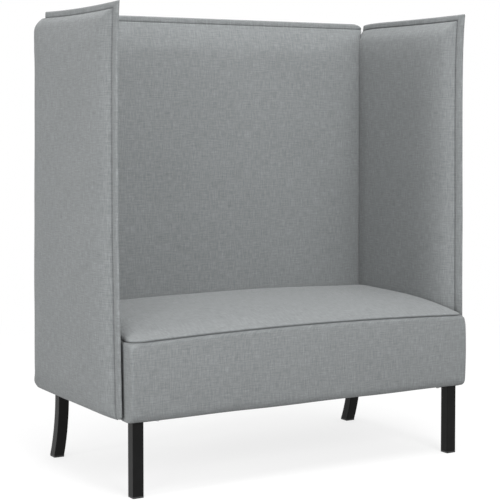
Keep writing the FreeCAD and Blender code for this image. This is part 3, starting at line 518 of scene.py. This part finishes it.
def seat_top(name):
    """The crowned top, climbing fast at the sides and slowly from the front."""
    half, corner = SEAT_HALF - SEAM_INSET, 0.039
    depth = SEAT_REAR - SEAT_FRONT - 2 * SEAM_INSET
    columns = between(-half, half, FROM_SEAM, FROM_SEAM)
    across, back = np.meshgrid(columns, between(0, depth, FROM_SEAM, FROM_SEAM))
    eased = corner - np.sqrt(corner ** 2 - np.clip(np.abs(across) - half + corner, 0, corner) ** 2)
    along = SEAT_FRONT + SEAM_INSET + eased + back * (depth - eased) / depth
    from_front = along - SEAT_FRONT - SEAM_INSET - eased
    from_side = half - np.abs(across)
    from_rear = SEAT_REAR - SEAM_INSET - along
    edge = np.minimum(np.minimum(from_front, from_side), from_rear)
    climb = swell(from_front, 0.125) * rise(from_side, 0.04) * (0.72 + 0.28 * rise(from_rear, 0.09))
    level = seam_level(across) + CROWN * climb / swell(0.42, 0.125) + 0.004 * rise(edge, 0.012)
    level = level + ripple(across, along, 0.11, 0.0008, 0.4) * climb
    # Painted shade along the seam round the top's edge
    painted_seam_shade = SEAT_SEAM_SHADE * seam_groove(edge, 0.0022)
    points = np.stack([across + 0.6 * front_spread(across, along), along, level], axis=-1)
    uv = np.stack([across, along], axis=-1)
    return mesh_piece(name, [(points, uv, False, painted_seam_shade, edge < 0.01)], fabric, depth=1.0)


def dust_sheet(name):
    """Thin black cloth tacked under the seat, sagging a little between the rails."""
    low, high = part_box("dust_cover")
    across, along = np.meshgrid(np.linspace(low[0], high[0], 60), np.linspace(low[1], high[1], 30))
    width, length = high[0] - low[0], high[1] - low[1]
    hang = np.sin(np.pi * (across - low[0]) / width) * np.sin(np.pi * (along - low[1]) / length)
    points = np.stack([across, along, low[2] + 0.0005 - 0.004 * hang ** 2], axis=-1)
    uv = np.stack([across, along], axis=-1)
    plain = np.zeros_like(across)
    sheet = mesh_piece(name, [(points, uv, False, plain, plain)], dust_fabric, depth=1.0)
    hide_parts("dust_cover")


def settle(piece, pressure, most):
    """Cloth simulation: the cover is pressed from inside and held where it is sewn or rolled over."""
    mesh = piece.data
    count = len(mesh.vertices)
    before = np.empty(count * 3, dtype=np.float32)
    mesh.vertices.foreach_get("co", before)
    held = np.empty(count, dtype=np.float32)
    mesh.attributes["held"].data.foreach_get("value", held)
    sewn = piece.vertex_groups.new(name="sewn")
    sewn.add([int(i) for i in np.flatnonzero(held > 0.5)], 1.0, "REPLACE")
    simulation = piece.modifiers.new("cloth", "CLOTH")
    simulation.point_cache.frame_start = 1
    simulation.point_cache.frame_end = SIM_FRAMES
    settings = simulation.settings
    settings.quality = 5
    settings.vertex_group_mass = "sewn"
    settings.tension_stiffness = 25
    settings.compression_stiffness = 12
    settings.bending_stiffness = 2.0
    settings.effector_weights.gravity = 0
    settings.use_pressure = True
    settings.uniform_pressure_force = pressure
    simulation.collision_settings.use_collision = False
    scene = bpy.context.scene
    for number in range(1, SIM_FRAMES + 1):
        scene.frame_set(number)
    shaped = piece.evaluated_get(bpy.context.evaluated_depsgraph_get())
    after = np.empty(count * 3, dtype=np.float32)
    shaped.data.vertices.foreach_get("co", after)
    piece.modifiers.remove(simulation)
    scene.frame_set(1)
    moved = (after - before).reshape(-1, 3)
    length = np.linalg.norm(moved, axis=1, keepdims=True)
    moved *= most * np.tanh(length / most) / np.maximum(length, 1e-9)
    mesh.vertices.foreach_set("co", (before.reshape(-1, 3) + moved).ravel())
    mesh.update()
    print(f"{piece.name}: cloth moved up to {1000 * float(np.linalg.norm(moved, axis=1).max()):.1f} mm")


left_cover = side_panel("left_panel_cover", -1, flange_end=0.252, sag=0.005, lift=0.0, droop=0.0,
                        lean=(0.005, 0.0012, 0.0012), foot=-0.004)
right_cover = side_panel("right_panel_cover", 1, flange_end=0.290, sag=0.002, lift=0.003, droop=0.008,
                         lean=(-0.001, -0.003, 0.003), foot=0.005)
back_cover = back_panel("back_panel_cover")
border = seat_border("seat_border_band")
top = seat_top("seat_top_dome")
dust_sheet("dust_sheet")
for piece in (left_cover, right_cover, back_cover, top):
    settle(piece, SIM_PRESSURE, SIM_MOST)
for side, piece in (("left", left_cover), ("right", right_cover), ("back", back_cover)):
    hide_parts(f"{side}_cover", f"{side}_inner_foam", f"{side}_outer_foam")
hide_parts("seat_border_cover", "seat_front_padding")
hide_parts("seat_top_cover", "seat_foam")

# Floor, light and camera

FLOOR_BOUNCE = 0.38


def shown_rays(nodes, links):
    """1 where the background itself is looked at, straight, in a reflection or through glass."""
    rays = nodes.new("ShaderNodeLightPath").outputs
    seen = math_node(nodes, links, "MAXIMUM", rays["Is Camera Ray"], rays["Is Glossy Ray"])
    return math_node(nodes, links, "MAXIMUM", seen, rays["Is Transmission Ray"])


def floor_material():
    material, nodes, links, shader = node_material("studio_floor")
    field = noise(nodes, links, object_vector(nodes), 3.0, 2.0)
    pale = ramp(nodes, links, field, [(0.3, (0.955, 0.955, 0.955)), (0.7, (0.965, 0.965, 0.965))])
    seen = shown_rays(nodes, links)
    tone = nodes.new("ShaderNodeMix")
    tone.data_type = "RGBA"
    tone.inputs["A"].default_value = (FLOOR_BOUNCE, FLOOR_BOUNCE, FLOOR_BOUNCE, 1)
    links.new(seen, tone.inputs["Factor"])
    links.new(pale, tone.inputs["B"])
    links.new(tone.outputs["Result"], shader.inputs["Base Color"])
    shader.inputs["Roughness"].default_value = 0.9
    distance = nodes.new("ShaderNodeVectorMath")
    distance.operation = "LENGTH"
    links.new(object_vector(nodes), distance.inputs[0])
    fade = nodes.new("ShaderNodeMapRange")
    fade.inputs["From Min"].default_value = 1.3
    fade.inputs["From Max"].default_value = 3.2
    fade.inputs["To Min"].default_value = 0.75
    links.new(distance.outputs["Value"], fade.inputs["Value"])
    paper = nodes.new("ShaderNodeEmission")
    share = math_node(nodes, links, "MULTIPLY", fade.outputs["Result"], seen)
    mix = nodes.new("ShaderNodeMixShader")
    links.new(share, mix.inputs["Fac"])
    links.new(shader.outputs["BSDF"], mix.inputs[1])
    links.new(paper.outputs["Emission"], mix.inputs[2])
    links.new(mix.outputs["Shader"], nodes["Material Output"].inputs["Surface"])
    return material


def studio_floor():
    mesh = bpy.data.meshes.new("studio_floor")
    reach = 14.0
    corners = [(-reach, -reach, 0), (reach, -reach, 0), (reach, reach, 0), (-reach, reach, 0)]
    mesh.from_pydata(corners, [], [(0, 1, 2, 3)])
    mesh.materials.append(floor_material())
    floor = bpy.data.objects.new("studio_floor", mesh)
    bpy.context.scene.collection.objects.link(floor)


def soft_light(name, place, target, size, power):
    light = bpy.data.lights.new(name, "AREA")
    light.shape = "RECTANGLE"
    light.size, light.size_y = size
    light.energy = power
    lamp = bpy.data.objects.new(name, light)
    bpy.context.scene.collection.objects.link(lamp)
    lamp.location = place
    aim = np.array(target) - np.array(place)
    flat = math.hypot(aim[0], aim[1])
    lamp.rotation_euler = (math.pi / 2 + math.atan2(aim[2], flat), 0, math.atan2(-aim[0], aim[1]))


def white_world(strength):
    """Even light all round, plain white to the camera and in reflections."""
    world = bpy.data.worlds.new("studio")
    bpy.context.scene.world = world
    world.use_nodes = True
    nodes, links = world.node_tree.nodes, world.node_tree.links
    ambient = nodes["Background"]
    ambient.inputs["Color"].default_value = (1, 1, 1, 1)
    ambient.inputs["Strength"].default_value = strength
    plain = nodes.new("ShaderNodeBackground")
    plain.inputs["Color"].default_value = (1, 1, 1, 1)
    plain.inputs["Strength"].default_value = 1.0
    mix = nodes.new("ShaderNodeMixShader")
    links.new(shown_rays(nodes, links), mix.inputs["Fac"])
    links.new(ambient.outputs["Background"], mix.inputs[1])
    links.new(plain.outputs["Background"], mix.inputs[2])
    links.new(mix.outputs["Shader"], nodes["World Output"].inputs["Surface"])


studio_floor()
white_world(0.82)
soft_light("overhead", (-0.1, -0.8, 3.4), (0, 0, 0.4), (2.6, 2.2), 87)
soft_light("front", (-0.3, -4.8, 2.8), (0, 0, 0.7), (2.0, 2.0), 131)
soft_light("left", (-4.2, -0.65, 1.0), (0, -0.3, 0.8), (0.5, 1.8), 64)
soft_light("front_left", (-3.4, -2.6, 1.4), (0, -0.2, 0.8), (1.2, 1.6), 38)

# Camera fitted to the photo, with part of its lens shift
camera_data = bpy.data.cameras.new("photo_camera")
camera_data.sensor_width = 36.0
camera_data.lens = 104.62
camera_data.shift_y = -0.13
camera = bpy.data.objects.new("photo_camera", camera_data)
bpy.context.scene.collection.objects.link(camera)
camera.location = (-2.3191, -3.9561, 1.0801)
camera.rotation_euler = (math.radians(87.268), 0, math.radians(-30.126))
bpy.context.scene.camera = camera
bpy.context.scene.view_settings.view_transform = "Standard"
